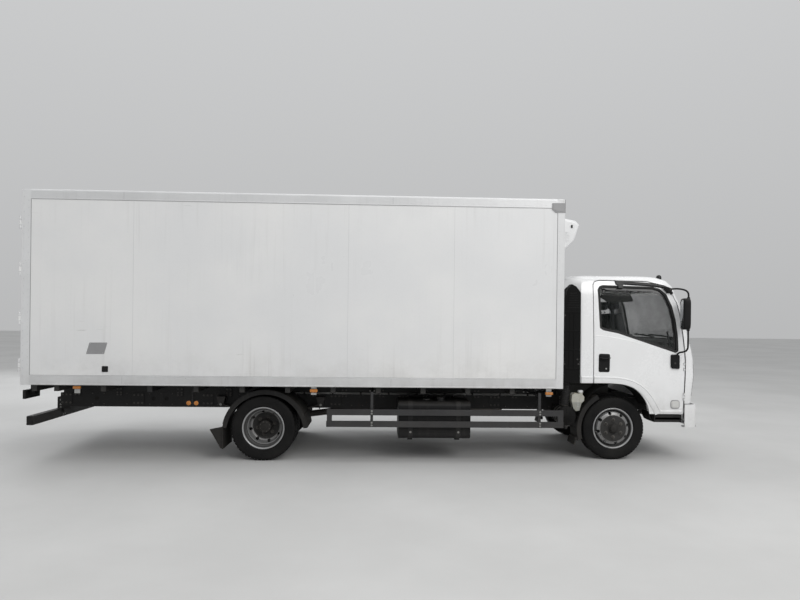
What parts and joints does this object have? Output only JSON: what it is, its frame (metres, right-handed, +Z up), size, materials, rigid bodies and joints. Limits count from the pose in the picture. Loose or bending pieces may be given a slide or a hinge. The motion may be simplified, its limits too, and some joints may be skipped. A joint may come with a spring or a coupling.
{
  "type": "box truck",
  "caption": "Medium box truck with a tilting forward-control cab, a refrigerated cargo box with rear barn doors, opening cab doors and steered front wheels.",
  "frame": {"origin": "on the ground, under the middle of the overall box", "axes": "+X forward, +Y to the truck's left, +Z up"},
  "size_m": [8.5698, 2.536, 3.306],
  "materials": {
    "tyre": "dusty rubber",
    "rim": "silver paint, brake dust",
    "chassis_black": "satin black, road dust",
    "axle_iron": "dusty black",
    "engine_iron": "dull casting",
    "exhaust_steel": "heat stained",
    "tank_metal": "satin black",
    "black_plastic": "grained",
    "bottle_plastic": "milky",
    "guard_metal": "weathered",
    "cab_paint": "gloss white",
    "glass": "clear",
    "lamp": "clear lens",
    "tail_lamp": "red lens",
    "seat_fabric": "woven",
    "dash_plastic": "grained",
    "box_panel": "white laminate",
    "box_floor": "worn tread",
    "portal_metal": "painted white, worn",
    "unit_plastic": "white cover",
    "mirror": "black housing"
  },
  "bodies": {
    "chassis": {"frame": "chassis_black", "front_axle": "axle_iron", "rear_axle": "axle_iron", "leaf_springs": "axle_iron", "engine": "engine_iron", "drive_shaft": "axle_iron", "exhaust": "exhaust_steel", "fuel_tank": "tank_metal", "battery_box": "black_plastic", "air_intake": "black_plastic", "coolant_bottle": "bottle_plastic", "side_guards": "guard_metal", "front_mudguards": "black_plastic", "rear_mudguards": "black_plastic", "front_bumper": "cab_paint", "underrun_bar": "chassis_black", "tail_lamps": "tail_lamp", "box_floor": "box_floor", "box_side_walls": "box_panel", "box_front_wall": "box_panel", "box_roof": "box_panel", "box_rear_frame": "portal_metal", "refrigeration_unit": "unit_plastic"},
    "cab": {"cab_shell": "cab_paint", "cab_front_panel": "cab_paint", "cab_steps": "black_plastic", "windshield": "glass", "seats": "seat_fabric", "dashboard": "dash_plastic", "headlamps": "lamp"},
    "steering_wheel": {"steering_wheel": "black_plastic"},
    "tie_rod": {"tie_rod": "axle_iron"},
    "cab_door_right": {"door_right": "cab_paint", "window_right": "glass", "mirror_right": "mirror"},
    "rear_door_right": {"rear_door_right": "box_panel"},
    "knuckle_right": {"knuckle_right": "axle_iron"},
    "front_wheel_right": {"front_tyre_right": "tyre", "front_rim_right": "rim"},
    "rear_wheels_right": {"rear_tyres_right": "tyre", "rear_rims_right": "rim"},
    "cab_door_left": {"door_left": "cab_paint", "window_left": "glass", "mirror_left": "mirror"},
    "rear_door_left": {"rear_door_left": "box_panel"},
    "knuckle_left": {"knuckle_left": "axle_iron"},
    "front_wheel_left": {"front_tyre_left": "tyre", "front_rim_left": "rim"},
    "rear_wheels_left": {"rear_tyres_left": "tyre", "rear_rims_left": "rim"}
  },
  "joints": [
    {"name": "cab_tilt", "type": "hinge", "parent": "chassis", "child": "cab", "pos_m": [4.133, 0, 0.765], "axis": [0, 1, 0], "range_deg": [0, 45]},
    {"name": "cab_door_right_hinge", "type": "hinge", "parent": "cab", "child": "cab_door_right", "pos_m": [4.035, -1.03, 1.215], "axis": [0, 0, 1], "range_deg": [0, 70]},
    {"name": "rear_door_right_hinge", "type": "hinge", "parent": "chassis", "child": "rear_door_right", "pos_m": [-4.23, -1.2, 2.34], "axis": [0, 0, 1], "range_deg": [0, 240]},
    {"name": "steering_right", "type": "hinge", "parent": "chassis", "child": "knuckle_right", "pos_m": [3.155, -0.7, 0.4055], "axis": [0, 0, 1], "range_deg": [-35, 35]},
    {"name": "front_wheel_right_spin", "type": "hinge", "parent": "knuckle_right", "child": "front_wheel_right", "pos_m": [3.155, -0.8325, 0.4055], "axis": [0, 1, 0], "continuous": true},
    {"name": "rear_wheels_right_spin", "type": "hinge", "parent": "chassis", "child": "rear_wheels_right", "pos_m": [-1.32, -0.825, 0.4055], "axis": [0, 1, 0], "continuous": true},
    {"name": "cab_door_left_hinge", "type": "hinge", "parent": "cab", "child": "cab_door_left", "pos_m": [4.035, 1.03, 1.215], "axis": [0, 0, -1], "range_deg": [0, 70]},
    {"name": "rear_door_left_hinge", "type": "hinge", "parent": "chassis", "child": "rear_door_left", "pos_m": [-4.23, 1.2, 2.34], "axis": [0, 0, -1], "range_deg": [0, 240]},
    {"name": "steering_left", "type": "hinge", "parent": "chassis", "child": "knuckle_left", "pos_m": [3.155, 0.7, 0.4055], "axis": [0, 0, 1], "range_deg": [-35, 35]},
    {"name": "front_wheel_left_spin", "type": "hinge", "parent": "knuckle_left", "child": "front_wheel_left", "pos_m": [3.155, 0.8325, 0.4055], "axis": [0, 1, 0], "continuous": true},
    {"name": "rear_wheels_left_spin", "type": "hinge", "parent": "chassis", "child": "rear_wheels_left", "pos_m": [-1.32, 0.825, 0.4055], "axis": [0, 1, 0], "continuous": true},
    {"name": "steering_wheel_turn", "type": "hinge", "parent": "cab", "child": "steering_wheel", "pos_m": [3.795, 0.48, 1.478], "axis": [-0.5446, 0, 0.8387], "range_deg": [-500, 500]},
    {"name": "tie_rod_pivot", "type": "hinge", "parent": "knuckle_left", "child": "tie_rod", "pos_m": [2.985, 0.7, 0.33], "axis": [0, 0, 1], "range_deg": [-36, 36]}
  ],
  "couplings": [
    {"joint": "steering_right", "follows": "steering_left", "ratio": 1},
    {"joint": "tie_rod_pivot", "follows": "steering_left", "ratio": -1},
    {"joint": "steering_wheel_turn", "follows": "steering_left", "ratio": 14}
  ]
}
